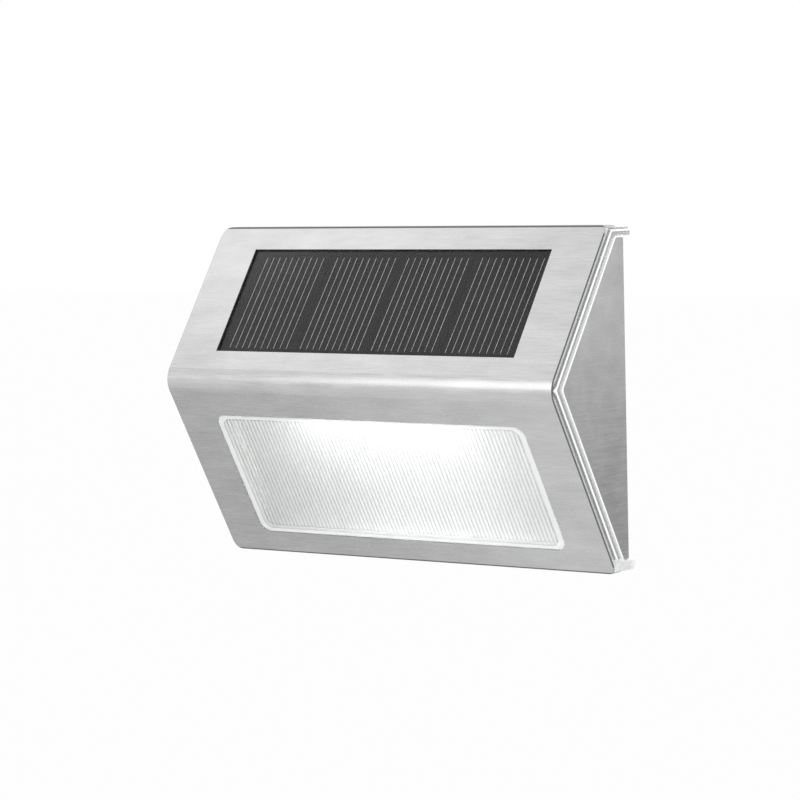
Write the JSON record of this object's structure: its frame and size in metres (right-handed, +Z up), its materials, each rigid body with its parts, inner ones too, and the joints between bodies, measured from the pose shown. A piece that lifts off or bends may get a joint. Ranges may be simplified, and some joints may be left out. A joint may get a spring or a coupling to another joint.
{
  "type": "solar fence light",
  "caption": "Wedge-shaped solar wall light: folded steel cover, panel on the upper slope, lit reeded window on the lower slope, flat back with keyholes.",
  "frame": {"origin": "middle of the flat back, on the surface of the wall", "axes": "+X across to the right seen from in front, +Y into the wall, +Z up"},
  "size_m": [0.116, 0.032, 0.081],
  "materials": {
    "steel": "brushed along the length",
    "clear_plastic": "clear, polished",
    "black_plastic": "fine matt",
    "white_plastic": "gloss",
    "solar_cell": "dark silicon with fine silver fingers",
    "resin": "clear resin",
    "black_board": "matt",
    "white_board": "matt",
    "green_board": "matt",
    "lamp": "gloss",
    "adhesive": "matt",
    "silicone": "matt",
    "screw_steel": "plated",
    "contact_metal": "nickel plated",
    "cell_sleeve": "shrunk sleeve",
    "component": "matt",
    "red_wire": "matt",
    "black_wire": "matt"
  },
  "bodies": {
    "light": {"front_cover": "steel", "side_plate_left": "steel", "side_plate_right": "steel", "side_tape_left": "adhesive", "side_tape_right": "adhesive", "clear_housing": "clear_plastic", "solar_film": "resin", "solar_board": "black_board", "panel_tape": "adhesive", "solar_cell_1": "solar_cell", "solar_cell_2": "solar_cell", "solar_cell_3": "solar_cell", "solar_cell_4": "solar_cell", "reflector": "white_plastic", "led_board": "white_board", "led_1": "lamp", "led_2": "lamp", "led_3": "lamp", "back_cover": "black_plastic", "back_gasket": "silicone", "cover_screws": "screw_steel", "battery_cell": "cell_sleeve", "contact_positive": "contact_metal", "contact_negative": "contact_metal", "control_board": "green_board", "control_screws": "screw_steel", "controller_chip": "component", "inductor": "component", "capacitor": "component", "switch_body": "component", "solar_wire_red": "red_wire", "solar_wire_black": "black_wire", "led_wire_red": "red_wire", "led_wire_black": "black_wire", "battery_wire_red": "red_wire", "battery_wire_black": "black_wire"},
    "switch_slider": {"switch_knob": "black_plastic"}
  },
  "joints": [
    {"name": "switch_slide", "type": "slide", "parent": "light", "child": "switch_slider", "axis": [1, 0, 0], "range_m": [0, 0.003]}
  ]
}
